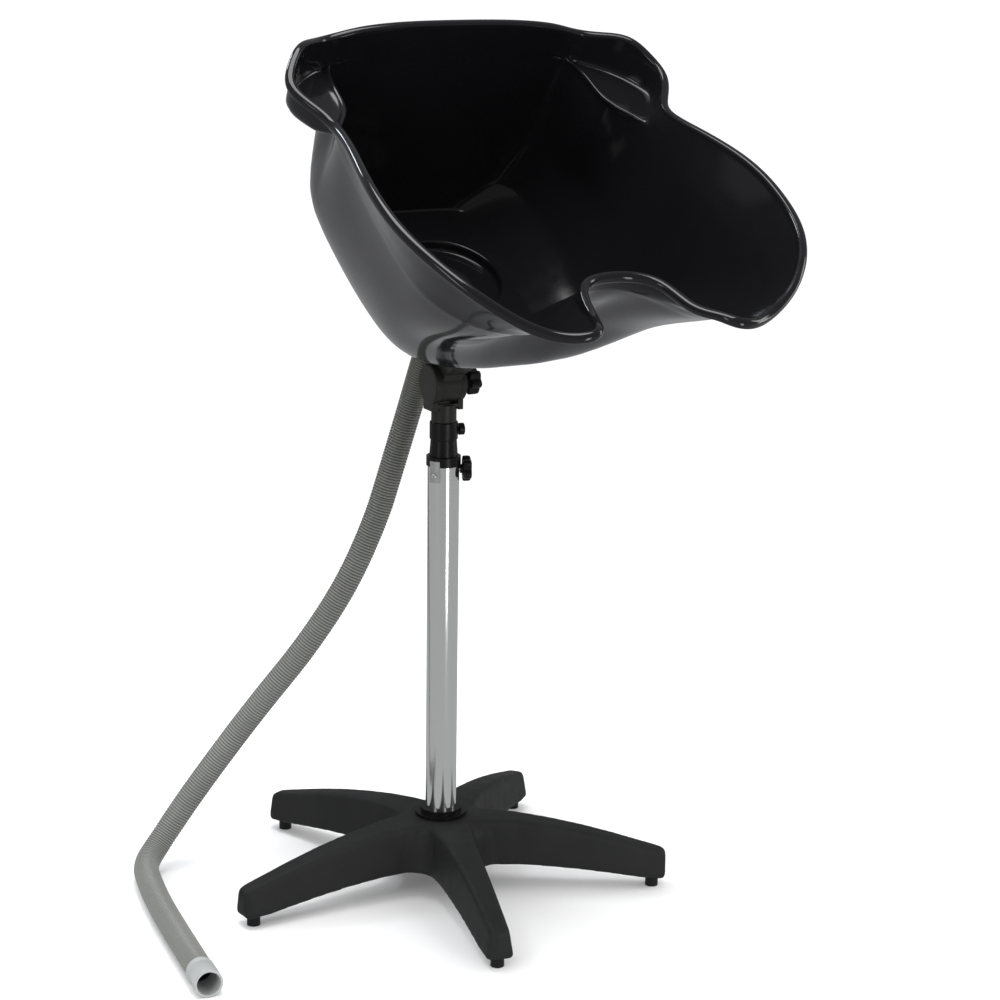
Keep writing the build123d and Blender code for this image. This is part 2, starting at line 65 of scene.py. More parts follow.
def add_camera():
    """Camera that looks along +Y, turned by yaw towards +X and pitched down."""
    forward = Vector((
        sin(CAMERA_YAW) * cos(CAMERA_PITCH), cos(CAMERA_YAW) * cos(CAMERA_PITCH), -sin(CAMERA_PITCH),
    ))
    right = forward.cross(Vector((0, 0, 1))).normalized()
    up = right.cross(forward)
    level_right = cos(CAMERA_ROLL) * right + sin(CAMERA_ROLL) * up
    level_up = -sin(CAMERA_ROLL) * right + cos(CAMERA_ROLL) * up
    data = bpy.data.cameras.new("camera")
    data.sensor_width = 36.0
    data.lens = CAMERA_LENS_MM
    data.clip_end = 50.0
    camera = bpy.data.objects.new("camera", data)
    scene.collection.objects.link(camera)
    axes = Matrix((level_right, level_up, -forward)).transposed().to_4x4()
    camera.matrix_world = Matrix.Translation(CAMERA_PLACE) @ axes
    scene.camera = camera


add_camera()


# ---- materials ------------------------------------------------------------------
MOTTLE_SCALE = 14.0
GLOSS_SCALE = 60.0
EDGE_SOFTNESS = 0.8 * MM


def material(name, colour, roughness, metallic=0.0, grain=900.0, bump=0.02, mottle=0.06, coat=0.0,
             rough_spread=0.08, specular=0.5, stretch=(1, 1, 1), smudge=0.0):
    """Principled material with fine grain, soft colour mottling and uneven gloss."""
    mat = bpy.data.materials.new(name)
    mat.use_nodes = True
    nodes, links = mat.node_tree.nodes, mat.node_tree.links
    shader = nodes["Principled BSDF"]
    shader.inputs["Metallic"].default_value = metallic
    shader.inputs["Specular IOR Level"].default_value = specular
    shader.inputs["Coat Weight"].default_value = coat
    shader.inputs["Coat Roughness"].default_value = 0.03
    place = nodes.new("ShaderNodeTexCoord")
    scale = nodes.new("ShaderNodeMapping")
    scale.inputs["Scale"].default_value = stretch
    links.new(place.outputs["Object"], scale.inputs["Vector"])

    def noise(size, detail):
        node = nodes.new("ShaderNodeTexNoise")
        node.inputs["Scale"].default_value = size
        node.inputs["Detail"].default_value = detail
        links.new(scale.outputs["Vector"], node.inputs["Vector"])
        return node.outputs["Fac"]

    def spread(source, low, high):
        node = nodes.new("ShaderNodeMapRange")
        node.inputs["From Min"].default_value = 0.3
        node.inputs["From Max"].default_value = 0.7
        node.inputs["To Min"].default_value = low
        node.inputs["To Max"].default_value = high
        links.new(source, node.inputs["Value"])
        return node.outputs["Result"]

    broad = noise(MOTTLE_SCALE, 4.0)
    fine = noise(grain, 3.0)
    tint = nodes.new("ShaderNodeMix")
    tint.data_type = "RGBA"
    tint.inputs["A"].default_value = (*[c * (1 - mottle) for c in colour], 1)
    tint.inputs["B"].default_value = (*[min(1.0, c * (1 + mottle)) for c in colour], 1)
    links.new(spread(broad, 0.0, 1.0), tint.inputs["Factor"])
    links.new(tint.outputs["Result"], shader.inputs["Base Color"])
    gloss = noise(GLOSS_SCALE, 5.0)
    low, high = roughness * (1 - rough_spread), roughness * (1 + rough_spread) + smudge
    links.new(spread(gloss, low, high), shader.inputs["Roughness"])
    relief = nodes.new("ShaderNodeBump")
    relief.inputs["Strength"].default_value = bump
    relief.inputs["Distance"].default_value = 0.001
    links.new(fine, relief.inputs["Height"])
    links.new(relief.outputs["Normal"], shader.inputs["Normal"])
    return mat


def corrugated(mat, top_colour):
    """Darkens the hose towards its top, and paints shade into the hose's grooves and its lining, by two
    attributes of its mesh.
    """
    nodes, links = mat.node_tree.nodes, mat.node_tree.links
    shader = nodes["Principled BSDF"]
    tone = nodes.new("ShaderNodeAttribute")
    tone.attribute_name = "tone"
    fade = nodes.new("ShaderNodeMix")
    fade.data_type = "RGBA"
    fade.inputs["A"].default_value = (*top_colour, 1)
    links.new(tone.outputs["Fac"], fade.inputs["Factor"])
    links.new(shader.inputs["Base Color"].links[0].from_socket, fade.inputs["B"])
    # Painted shade: the grooves and the hose's lining are multiplied darker, as shade falls in them.
    groove_shade = nodes.new("ShaderNodeAttribute")
    groove_shade.attribute_name = "groove_shade"
    painted_shade = nodes.new("ShaderNodeMix")
    painted_shade.data_type = "RGBA"
    painted_shade.blend_type = "MULTIPLY"
    painted_shade.inputs["B"].default_value = (0.16, 0.16, 0.155, 1)
    links.new(groove_shade.outputs["Fac"], painted_shade.inputs["Factor"])
    links.new(fade.outputs["Result"], painted_shade.inputs["A"])
    links.new(painted_shade.outputs["Result"], shader.inputs["Base Color"])
    return mat


BASIN_GLOSS = material(
    "basin_gloss_black", (0.006, 0.006, 0.007), 0.10, grain=220, bump=0.010, smudge=0.02,
    rough_spread=0.15, specular=0.30,
)
MATERIALS = {
    "base_nylon": material(
        "nylon_charcoal", (0.0150, 0.0152, 0.0155), 0.50, specular=0.13, grain=1500, bump=0.22, mottle=0.12,
    ),
    "foot_plastic": material(
        "foot_black", (0.008, 0.008, 0.008), 0.5, specular=0.2, grain=1200, bump=0.12,
    ),
    "black_plastic": material(
        "plastic_black", (0.004, 0.004, 0.004), 0.30, specular=0.14, grain=1300, bump=0.08,
    ),
    "knob_plastic": material(
        "knob_black", (0.005, 0.005, 0.0055), 0.34, specular=0.14, grain=1300, bump=0.10,
    ),
    "head_plastic": material(
        "head_black", (0.010, 0.0105, 0.009), 0.38, specular=0.18, grain=1100, bump=0.14, mottle=0.1,
    ),
    "chrome_tube": material(
        "chrome_polished", (0.80, 0.805, 0.79), 0.12, metallic=1.0, grain=700, bump=0.004,
        mottle=0.02, stretch=(1, 1, 0.04), smudge=0.04,
    ),
    "chrome_drain": material(
        "chrome_drain", (0.80, 0.80, 0.82), 0.14, metallic=1.0, bump=0.01, mottle=0.03,
    ),
    "steel_hardware": material(
        "steel_zinc", (0.62, 0.62, 0.60), 0.28, metallic=1.0, bump=0.03, mottle=0.05,
    ),
    "steel_tab": material(
        "tab_pale", (0.26, 0.265, 0.26), 0.34, metallic=0.55, bump=0.03, mottle=0.05,
    ),
    "black_tube": material(
        "tube_black", (0.004, 0.004, 0.0045), 0.27, specular=0.16, grain=900, bump=0.03,
    ),
    "basin_gloss": BASIN_GLOSS,
    "seal_rubber": material("rubber_dark", (0.012, 0.012, 0.012), 0.7, grain=1400, bump=0.2),
    "hose_grey": material("hose_grey", (0.30, 0.31, 0.31), 0.42, grain=800, bump=0.05, mottle=0.05),
    "hose_cuff": material("cuff_grey", (0.36, 0.37, 0.37), 0.36, grain=700, bump=0.05, mottle=0.05),
}
HOSE_MATERIAL = corrugated(
    material("hose_ribbed_grey", (0.22, 0.225, 0.215), 0.42, grain=800, bump=0.05),
    top_colour=(0.075, 0.078, 0.066),
)


def soften_edges(mat):
    """Catches light along the sharp edges of the CAD pieces, as small radii do."""
    nodes, links = mat.node_tree.nodes, mat.node_tree.links
    bevel = nodes.new("ShaderNodeBevel")
    bevel.samples = 4
    bevel.inputs["Radius"].default_value = EDGE_SOFTNESS
    relief = [n for n in nodes if n.bl_idname == "ShaderNodeBump"][0]
    links.new(bevel.outputs["Normal"], relief.inputs["Normal"])


for slot_name in ("black_plastic", "head_plastic", "steel_hardware", "foot_plastic", "knob_plastic"):
    soften_edges(MATERIALS[slot_name])


# ---- mesh helpers -----------------------------------------------------------------
def add_mesh(name, points_mm, faces, mat):
    """New smooth-shaded object from points in mm."""
    mesh = bpy.data.meshes.new(name)
    mesh.from_pydata([tuple(float(c) * MM for c in p) for p in points_mm], [], faces)
    mesh.update()
    obj = bpy.data.objects.new(name, mesh)
    scene.collection.objects.link(obj)
    mesh.materials.append(mat)
    mesh.polygons.foreach_set("use_smooth", [True] * len(mesh.polygons))
    return obj


def grid_faces(rows, columns, first=0):
    """Quads of a grid whose rows are closed loops."""
    faces = []
    for i in range(rows - 1):
        for k in range(columns):
            a = first + i * columns + k
            b = first + i * columns + (k + 1) % columns
            faces.append((a, b, b + columns, a + columns))
    return faces


def sleeve_faces(rows, columns):
    """Quads of a grid of closed rows whose last row joins the first."""
    faces = grid_faces(rows, columns)
    last = (rows - 1) * columns
    for k in range(columns):
        after = (k + 1) % columns
        faces.append((last + k, last + after, after, k))
    return faces


def circle_angles(count):
    return 2 * pi * np.arange(count) / count


def smoothstep(x):
    x = np.clip(x, 0.0, 1.0)
    return x * x * (3 - 2 * x)


def recalculated(obj):
    """Turns all faces outwards."""
    bm = bmesh.new()
    bm.from_mesh(obj.data)
    bmesh.ops.recalc_face_normals(bm, faces=bm.faces)
    bm.to_mesh(obj.data)
    bm.free()
    return obj


# ---- drain hose ---------------------------------------------------------------------
HOSE_R_MM = 15.5
GROOVE_DEPTH_MM = 1.15
RIB_PITCH_MM = 3.6
RINGS_PER_RIB = 6
HOSE_SIDES = 28
HOSE_WALL_MM = 2.4
GROOVE_SHARPNESS = 2.2
# Sleeve on the hose's free end in mm: radius, distance along the hose.
CUFF_PROFILE = [
    (13.2, 0.0), (15.6, 0.0), (16.3, 0.6), (16.5, 1.6), (16.5, 4.0), (16.1, 4.8), (16.1, 12.0),
    (16.5, 12.8), (16.5, 38.4), (16.3, 39.4), (15.7, 40.0), (14.4, 40.0), (13.8, 39.5), (13.6, 38.6),
    (13.6, 20.0), (13.4, 2.0),
]
CUFF_SIDES = 64
SPLIT = (-0.0348, 0.0958, 0.4736)
UPPER_ROUTE = [(0.0, 0.0496, 0.6591), (0.0, 0.0656, 0.6314), (-0.006, 0.085, 0.578), SPLIT]
LOWER_ROUTE = [
    SPLIT, (-0.042, 0.0985, 0.4475), (-0.078, 0.106, 0.366), (-0.126, 0.124, 0.286),
    (-0.180, 0.150, 0.210), (-0.226, 0.170, 0.142), (-0.268, 0.182, 0.082), (-0.302, 0.186, 0.034),
    (-0.330, 0.164, 0.017), (-0.343, 0.110, 0.0165), (-0.356, 0.040, 0.0165),
    (-0.368, -0.050, 0.0165), (-0.380, -0.150, 0.0165),
]


def spline_points(name, route):
    """Points close together along one NURBS spline through a route."""
    curve = bpy.data.curves.new(name, "CURVE")
    curve.dimensions = "3D"
    spline = curve.splines.new("NURBS")
    spline.points.add(len(route) - 1)
    for point, place in zip(spline.points, route):
        point.co = (*place, 1.0)
    spline.order_u = 3
    spline.use_endpoint_u = True
    spline.resolution_u = 24
    obj = bpy.data.objects.new(name, curve)
    mesh = bpy.data.meshes.new_from_object(obj)
    points = np.array([v.co for v in mesh.vertices], float).reshape(-1, 3)
    bpy.data.objects.remove(obj)
    bpy.data.curves.remove(curve)
    return points


def resampled(points, step):
    """The same path in equal steps, and its length."""
    keep = np.r_[True, np.linalg.norm(np.diff(points, axis=0), axis=1) > 1e-7]
    points = points[keep]
    along = np.r_[0, np.cumsum(np.linalg.norm(np.diff(points, axis=0), axis=1))]
    count = int(round(along[-1] / step)) + 1
    places = np.linspace(0, along[-1], count)
    return np.stack([np.interp(places, along, points[:, k]) for k in range(3)], 1), along[-1]


def frames_along(path):
    """Two side directions at each point, carried along without twist."""
    ahead = np.gradient(path, axis=0)
    ahead /= np.linalg.norm(ahead, axis=1)[:, None]
    side = np.cross(ahead[0], (1.0, 0.0, 0.0))
    sides = []
    for direction in ahead:
        side = side - direction * side.dot(direction)
        side /= np.linalg.norm(side)
        sides.append(side.copy())
    sides = np.array(sides)
    return sides, np.cross(ahead, sides)


def hose(name, route, first_tone, last_tone):
    """Thin corrugated tube along a route, in metres."""
    path, length = resampled(spline_points(name + "_line", route), RIB_PITCH_MM * MM / RINGS_PER_RIB)
    side, other = frames_along(path)
    place = np.arange(len(path)) / RINGS_PER_RIB
    wave = 0.5 + 0.5 * np.cos(2 * pi * place)
    depth = wave ** GROOVE_SHARPNESS
    outer = HOSE_R_MM * MM - GROOVE_DEPTH_MM * MM * depth
    outer[0] = outer[-1] = (HOSE_R_MM - GROOVE_DEPTH_MM) * MM
    inner = (HOSE_R_MM - HOSE_WALL_MM) * MM
    turn = circle_angles(HOSE_SIDES)
    circle = side[:, None] * np.cos(turn)[None, :, None] + other[:, None] * np.sin(turn)[None, :, None]
    skin = path[:, None] + circle * outer[:, None, None]
    lining_rows = np.unique(np.r_[np.arange(0, len(path), RINGS_PER_RIB), len(path) - 1])[::-1]
    lining = path[lining_rows][:, None] + circle[lining_rows] * inner
    points = np.concatenate([skin.reshape(-1, 3), lining.reshape(-1, 3)]) / MM
    faces = sleeve_faces(len(path) + len(lining_rows), HOSE_SIDES)
    obj = recalculated(add_mesh(name, points, faces, HOSE_MATERIAL))
    # Painted shade amount: the groove depth on the outer skin, and full shade over the whole lining.
    groove_shade = obj.data.attributes.new("groove_shade", "FLOAT", "POINT")
    values = np.r_[np.repeat(depth, HOSE_SIDES), np.ones(len(lining_rows) * HOSE_SIDES)]
    groove_shade.data.foreach_set("value", values.astype(np.float32))
    tones = first_tone + (last_tone - first_tone) * np.linspace(0, 1, len(path))
    tones = np.repeat(np.r_[tones, tones[lining_rows]], HOSE_SIDES)
    tone = obj.data.attributes.new("tone", "FLOAT", "POINT")
    tone.data.foreach_set("value", np.clip(tones, 0, 1).astype(np.float32))
    return obj, path, length


upper, upper_path, upper_length = hose("hose_upper_tube", UPPER_ROUTE, 0.0, 0.35)
lower, lower_path, lower_length = hose("hose_lower_tube", LOWER_ROUTE, 0.35, 1.9)


def end_cuff():
    """Smooth open sleeve on the hose's free end, with a rounded mouth."""
    ahead = np.array(LOWER_ROUTE[-1]) - np.array(LOWER_ROUTE[-2])
    ahead /= np.linalg.norm(ahead)
    side = np.cross(ahead, (0, 0, 1.0))
    side /= np.linalg.norm(side)
    up = np.cross(side, ahead)
    turn = circle_angles(CUFF_SIDES)
    ring = side[None] * np.cos(turn)[:, None] + up[None] * np.sin(turn)[:, None]
    start = np.array(LOWER_ROUTE[-1]) / MM
    points = np.concatenate([start + ahead * out + ring * radius for radius, out in CUFF_PROFILE])
    faces = sleeve_faces(len(CUFF_PROFILE), CUFF_SIDES)
    return recalculated(add_mesh("hose_end_sleeve", points, faces, MATERIALS["hose_cuff"]))


cuff = end_cuff()
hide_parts("hose_upper")
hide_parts("hose_lower")
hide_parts("hose_end_cuff")
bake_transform(upper)
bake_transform(lower)
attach(cuff, "swivel")

# ---- basin ----------------------------------------------------------------------------
# Half outlines of the bowl's inside in mm, as (across, forward) or (across, forward, height),
# from the middle of the back, past the ear and the wing, to the middle of the neck notch.
BASIN_TILT = radians(30)
BASIN_FLOOR_Z_MM = 769.0
WALL_MM = 4.0
DRAIN_FORWARD_MM = 12.0
# Round sump about the drain in mm: radius, height.
SUMP_PROFILE = [
    (22, -12), (31, -12), (45, -12), (57, -12), (60.5, -11.8), (62.6, -10.8), (63.8, -9), (64.2, -5),
    (64.6, -2.2), (65.4, -0.8), (66.8, -0.15), (68.5, 0),
]
BOWL_FLOOR = [
    (0, -112), (30, -112), (50, -111), (64, -107), (71, -98), (75, -84), (76, -65),
    (76, -40), (76, -10), (75, 22), (74, 58), (73, 95), (71, 122), (66, 142),
    (57, 153), (46, 158), (36, 160), (27, 161), (18, 162), (9, 162), (0, 162),
]
BOWL_SHOULDER = [
    (0, -118, 38), (50, -118, 38), (85, -117, 38), (108, -113, 38), (120, -104, 37), (128, -92, 36),
    (134, -75, 34), (138, -52, 32), (140, -20, 29), (140, 20, 26), (137, 62, 22), (131, 102, 18),
    (120, 136, 14), (104, 158, 11), (86, 170, 10), (68, 176, 9), (52, 179, 9), (38, 181, 9),
    (26, 182, 9), (12, 182, 9), (0, 182, 9),
]
BOWL_WALL = [
    (0, -119), (65, -119), (115, -118), (138, -114), (148, -102), (156, -85), (163, -65),
    (170, -42), (176, -10), (179, 30), (180, 85), (180, 140), (176, 191), (158, 223),
    (131, 238), (104, 240), (81, 236), (61, 231), (43, 227), (22, 223), (0, 222),
]
BOWL_BELOW_EARS = [
    (0, -118), (70, -118), (125, -117), (152, -112), (159, -95), (162, -75), (163, -50),
    (168, -25), (183, 0), (195, 30), (201, 90), (206, 165), (207, 240), (196, 302),
    (160, 345), (117, 357), (87, 352), (67, 336), (49, 317), (27, 302), (0, 297),
]
RIM = [
    (0, -116, 264), (70, -114, 264), (125, -111, 260), (158, -110, 252), (182, -98, 256),
    (204, -80, 262), (221, -58, 256), (229, -30, 247), (214, 3, 243), (204, 38, 243),
    (213, 98, 257), (228, 175, 271), (229, 250, 276), (212, 318, 277), (174, 374, 268),
    (127, 406, 257), (91, 420, 263), (76, 402, 258), (64, 370, 246), (47, 322, 241), (0, 303, 238),
]
FIRST_EAR_POINT, LAST_EAR_POINT = 3, 8
LEVELS = [0.0, 22.0, 100.0, 212.0]
RIM_STATION = 245.0
WALL_LEVELS = [
    0.5, 1.6, 3.5, 6.5, 10, 14, 18, 22, 27, 33, 40, 50, 62, 76, 90, 104, 120, 136, 152, 168, 182, 194,
    203, 209,
]
FLOOR_SHARES = [0.12, 0.3, 0.5, 0.7, 0.85, 0.95]
LIP_SHARES = [0.2, 0.4, 0.6, 0.8, 0.93, 1.0]
STEPS_PER_POINT = 10
LEDGE_START, LEDGE_RISE = 211.0, 0.9
# Way out over an ear's ledge in mm: step outwards, share of the ledge's width, height.
LEDGE_PATH = [
    (-1.4, 0.0, 211.5), (-1.6, 0.0, 213.4), (-0.6, 0.0, 214.9), (1.2, 0.0, 215.0), (2.6, 0.02, 213.8),
    (3.4, 0.06, 212.2), (2.0, 0.25, 211.4), (1.0, 0.5, 211.2), (0.2, 0.75, 211.4), (-1.8, 0.94, 212.0),
    (-1.2, 0.985, 213.4), (-0.2, 1.0, 216.0), (0.0, 1.0, 221.0),
]
LIP_START = -6.0
BOSS_PROFILE = [(6.4, -12.0), (7.0, -11.4), (7.4, -6.0), (8.6, -4.6), (9.6, -3.4)]
BOSS_SIDES = 32
BOSS_ACROSS = (-30, 30)
BOSS_FORWARD = (94, 140)
# Rolled lip in mm from the rim line: outwards, up.
LIP_ROLL = [
    (0.1, -4.0), (0.5, -2.4), (1.3, -1.1), (2.5, -0.3), (4.0, 0.0), (6.0, -0.1), (8.0, -0.7),
    (9.4, -1.9), (10.2, -3.6), (10.4, -6.0), (10.3, -8.2), (9.7, -9.4), (8.8, -9.6), (8.2, -8.8),
    (7.9, -7.0), (7.0, -5.6), (5.7, -5.4), (4.6, -6.6), (4.0, -9.0),
]


def around(half):
    """Closed smooth curve through a half outline and its mirror image, y pointing back, in mm."""
    right = [(p[0], -p[1], *p[2:]) for p in half]
    knots = np.array(right + [(-p[0], *p[1:]) for p in reversed(right[1:-1])], float)
    count = len(knots)
    system = 4 * np.eye(count) + np.roll(np.eye(count), 1, 1) + np.roll(np.eye(count), -1, 1)
    slopes = np.linalg.solve(system, 3 * (np.roll(knots, -1, 0) - np.roll(knots, 1, 0)))
    following, next_slopes = np.roll(knots, -1, 0), np.roll(slopes, -1, 0)
    t = (np.arange(STEPS_PER_POINT) / STEPS_PER_POINT)[None, :, None]
    a, b = knots[:, None], following[:, None]
    curve = (
        (2 * t**3 - 3 * t**2 + 1) * a + (t**3 - 2 * t**2 + t) * slopes[:, None]
        + (3 * t**2 - 2 * t**3) * b + (t**3 - t**2) * next_slopes[:, None]
    )
    return curve.reshape(-1, len(half[0]))


def along_profile(knots, stations, place):
    """Row at one place along the profiles through the knots, without overshoot."""
    chords = [(b - a) / (sb - sa) for a, b, sa, sb in zip(knots, knots[1:], stations, stations[1:])]
    slopes = [chords[0]]
    for a, b in zip(chords, chords[1:]):
        same = (a * b) > 0
        total = np.where(same, a + b, 1.0)
        slopes.append(np.where(same, 2 * a * b / total, 0.0))
    slopes.append(chords[-1])
    k = max(i for i in range(len(stations) - 1) if place >= stations[i])
    h = stations[k + 1] - stations[k]
    t = (place - stations[k]) / h
    return (
        (2 * t**3 - 3 * t**2 + 1) * knots[k] + (t**3 - 2 * t**2 + t) * h * slopes[k]
        + (3 * t**2 - 2 * t**3) * knots[k + 1] + (t**3 - t**2) * h * slopes[k + 1]
    )


def outward_sides(curve):
    """Unit directions square to a closed flat curve, away from its middle."""
    tangent = np.roll(curve, -1, 0) - np.roll(curve, 1, 0)
    outward = np.column_stack([tangent[:, 1], -tangent[:, 0]])
    outward /= np.linalg.norm(outward, axis=1)[:, None]
    if np.sum(outward * (curve - curve.mean(0))) < 0:
        outward = -outward
    return outward


def basin_inside():
    """Rows of the bowl's inside, from the drain hole's edge to just under the rim, in mm."""
    outlines = []
    for half, level in zip((BOWL_FLOOR, BOWL_SHOULDER, BOWL_WALL, BOWL_BELOW_EARS), LEVELS):
        outlines.append(around([(*p, level) if len(p) == 2 else p for p in half]))
    rim_curve = around(RIM)
    rim, rim_z = rim_curve[:, :2], rim_curve[:, 2]
    columns = len(rim)
    floor = outlines[0][:, :2]
    drain = np.array((0.0, -DRAIN_FORWARD_MM))
    bearing = floor - drain
    bearing /= np.linalg.norm(bearing, axis=1)[:, None]
    rows = []

    def add(xy, height):
        rows.append(np.column_stack([xy, np.broadcast_to(height, columns)]))

    for radius, height in SUMP_PROFILE:
        add(drain + bearing * radius, height)
    edge = rows[-1][:, :2]
    for share in FLOOR_SHARES:
        add(edge + (floor - edge) * share, 0)
    stations = LEVELS + [RIM_STATION]
    knots = outlines + [rim_curve]
    for level in WALL_LEVELS:
        rows.append(along_profile(knots, stations, float(level)))

    # Above this level the wall either runs on to the rim or steps out over an ear's ledge.
    index = np.arange(columns) / STEPS_PER_POINT
    index = np.minimum(index, len(BOWL_FLOOR) * 2 - 2 - index)
    ear = smoothstep(index - FIRST_EAR_POINT + 0.9)
    ear = ear * smoothstep((LAST_EAR_POINT + 1.0 - index) / 1.2)
    weight = ear[:, None]
    below = outlines[3][:, :2]
    outward = outward_sides(below)
    ledge = rim - below
    for number, (step, share, height) in enumerate(LEDGE_PATH):
        rise = LEDGE_START + (number + 1) * LEDGE_RISE
        run_on = below + ledge * ((rise - LEDGE_START) / (rim_z - LEDGE_START))[:, None]
        stepped = below + outward * step + ledge * share
        add(run_on * (1 - weight) + stepped * weight, rise * (1 - ear) + height * ear)
    last = rows[-1]
    target = np.column_stack([rim, rim_z + LIP_START])
    for share in LIP_SHARES:
        rows.append(last + (target - last) * share)
    return np.array(rows), rim, rim_z


def row_normals(points):
    """Unit normals of a grid of closed rows, pointing from the bowl's inside to its outside."""
    across = np.roll(points, -1, 1) - np.roll(points, 1, 1)
    along = np.gradient(points, axis=0)
    normal = np.cross(along, across)
    normal /= np.linalg.norm(normal, axis=2)[:, :, None] + 1e-12
    middle = points.mean(axis=(0, 1)) + np.array((0, 0, 120.0))
    if np.sum(normal * (points - middle)) < 0:
        normal = -normal
    return normal


def basin_mesh():
    """Bowl of even wall with its rolled lip, as one closed sleeve of rows."""
    inside, rim, rim_z = basin_inside()
    outward = outward_sides(rim)
    lip = [np.column_stack([rim + outward * out, rim_z + up]) for out, up in LIP_ROLL]
    outside = inside + row_normals(inside) * WALL_MM
    outside[:2] = inside[:2] - np.array((0, 0, WALL_MM))
    rows = list(inside) + lip + list(outside[:-2])[::-1]
    return np.concatenate(rows), sleeve_faces(len(rows), inside.shape[1])


def in_basin(points):
    """Points of the level basin, in mm, tilted and lifted to their place at rest."""
    x, y, z = np.asarray(points, float).T
    return np.column_stack([
        x, y * cos(BASIN_TILT) - z * sin(BASIN_TILT),
        y * sin(BASIN_TILT) + z * cos(BASIN_TILT) + BASIN_FLOOR_Z_MM,
    ])


def boss_mesh(x, forward, first):
    """Tapered screw boss under the floor with a rounded foot."""
    points = []
    for radius, height in BOSS_PROFILE:
        for a in circle_angles(BOSS_SIDES):
            points.append((x + radius * cos(a), -forward + radius * sin(a), height))
    faces = grid_faces(len(BOSS_PROFILE), BOSS_SIDES, first)
    faces.append(tuple(first + k for k in range(BOSS_SIDES))[::-1])
    top = first + (len(BOSS_PROFILE) - 1) * BOSS_SIDES
    faces.append(tuple(top + k for k in range(BOSS_SIDES)))
    return points, faces


def build_basin():
    points, faces = basin_mesh()
    points = list(map(tuple, points))
    for x in BOSS_ACROSS:
        for forward in BOSS_FORWARD:
            more, quads = boss_mesh(x, forward, len(points))
            points += more
            faces += quads
    obj = recalculated(add_mesh("basin_shell", in_basin(points), faces, BASIN_GLOSS))
    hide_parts("basin_bowl")
    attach(obj, "basin")


build_basin()

# ---- five-arm base ------------------------------------------------------------------
ARM_COUNT = 5
FIRST_ARM = radians(113.6)
# Sections of an arm in mm: distance out, half width low and high, underside, top.
ARM_SECTIONS = [
    (0.0, 36.0, 30.0, 31.0, 87.0), (60.0, 31.0, 24.5, 31.0, 87.6), (97.0, 26.0, 19.0, 30.5, 86.0),
    (135.0, 23.6, 17.2, 28.0, 80.8), (173.0, 21.5, 15.5, 24.5, 74.0), (212.0, 20.0, 14.2, 19.8, 65.0),
    (250.0, 18.5, 13.0, 14.6, 55.0), (270.0, 17.3, 12.2, 13.1, 49.8), (277.0, 16.0, 11.0, 13.0, 47.6),
    (280.6, 13.2, 8.2, 13.6, 44.0),
]
HUB_PROFILE = [(58, 31), (62, 35), (61, 70), (56, 80), (48, 86), (40, 88)]
HUB_SIDES = 96
TOP_CORNER_MM = 4.5
LOW_CORNER_MM = 2.5
VALLEY_R_MM = 34.0
VALLEY_STEPS = 12
MELT_VOXEL = 2.2 * MM
MELT_ROUNDS = 16
# Levels of the fillet between two arms in mm: height, half width of the arm there, inset.
VALLEY_LEVELS = [
    (32.0, 27.4, 0.0), (52.0, 25.0, 0.0), (70.0, 22.8, 0.0), (78.0, 21.8, 2.5), (83.0, 21.2, 8.0),
]


def rounded_trapezoid(out, low_half, top_half, low, top):
    """Section across an arm with rounded top edges and softer bottom ones."""
    points = []
    corners = [
        (low_half, low, -90, 0, LOW_CORNER_MM), (top_half, top, 0, 90, TOP_CORNER_MM),
        (-top_half, top, 90, 180, TOP_CORNER_MM), (-low_half, low, 180, 270, LOW_CORNER_MM),
    ]
    for y, z, start, end, radius in corners:
        cy = y - radius if y > 0 else y + radius
        cz = z - radius if z > (low + top) / 2 else z + radius
        for k in range(6):
            a = radians(start + (end - start) * k / 5)
            points.append((out, cy + radius * cos(a), cz + radius * sin(a)))
    return points


def loop_body(loops):
    """Points and faces of a closed body through loops of equal size."""
    size = len(loops[0])
    points = [p for loop in loops for p in loop]
    faces = grid_faces(len(loops), size)
    faces.append(tuple(range(size))[::-1])
    faces.append(tuple((len(loops) - 1) * size + k for k in range(size)))
    return points, faces


def turned(points, angle):
    c, s = cos(angle), sin(angle)
    return [(x * c - y * s, x * s + y * c, z) for x, y, z in points]


def valley_web():
    """Fillet between two arms, drawn about +X, that leans with the arms' sides."""
    half = pi / ARM_COUNT
    loops = []
    for height, side, inset in VALLEY_LEVELS:
        centre = (side + VALLEY_R_MM) / sin(half)
        loop = [(30.0, -20.0, height), (30.0, 20.0, height)]
        for k in range(VALLEY_STEPS + 1):
            a = pi + (pi / 2 - half) * (2 * k / VALLEY_STEPS - 1)
            loop.append((centre + VALLEY_R_MM * cos(a) - inset, VALLEY_R_MM * sin(a), height))
        loops.append(loop)
    return loop_body(loops)


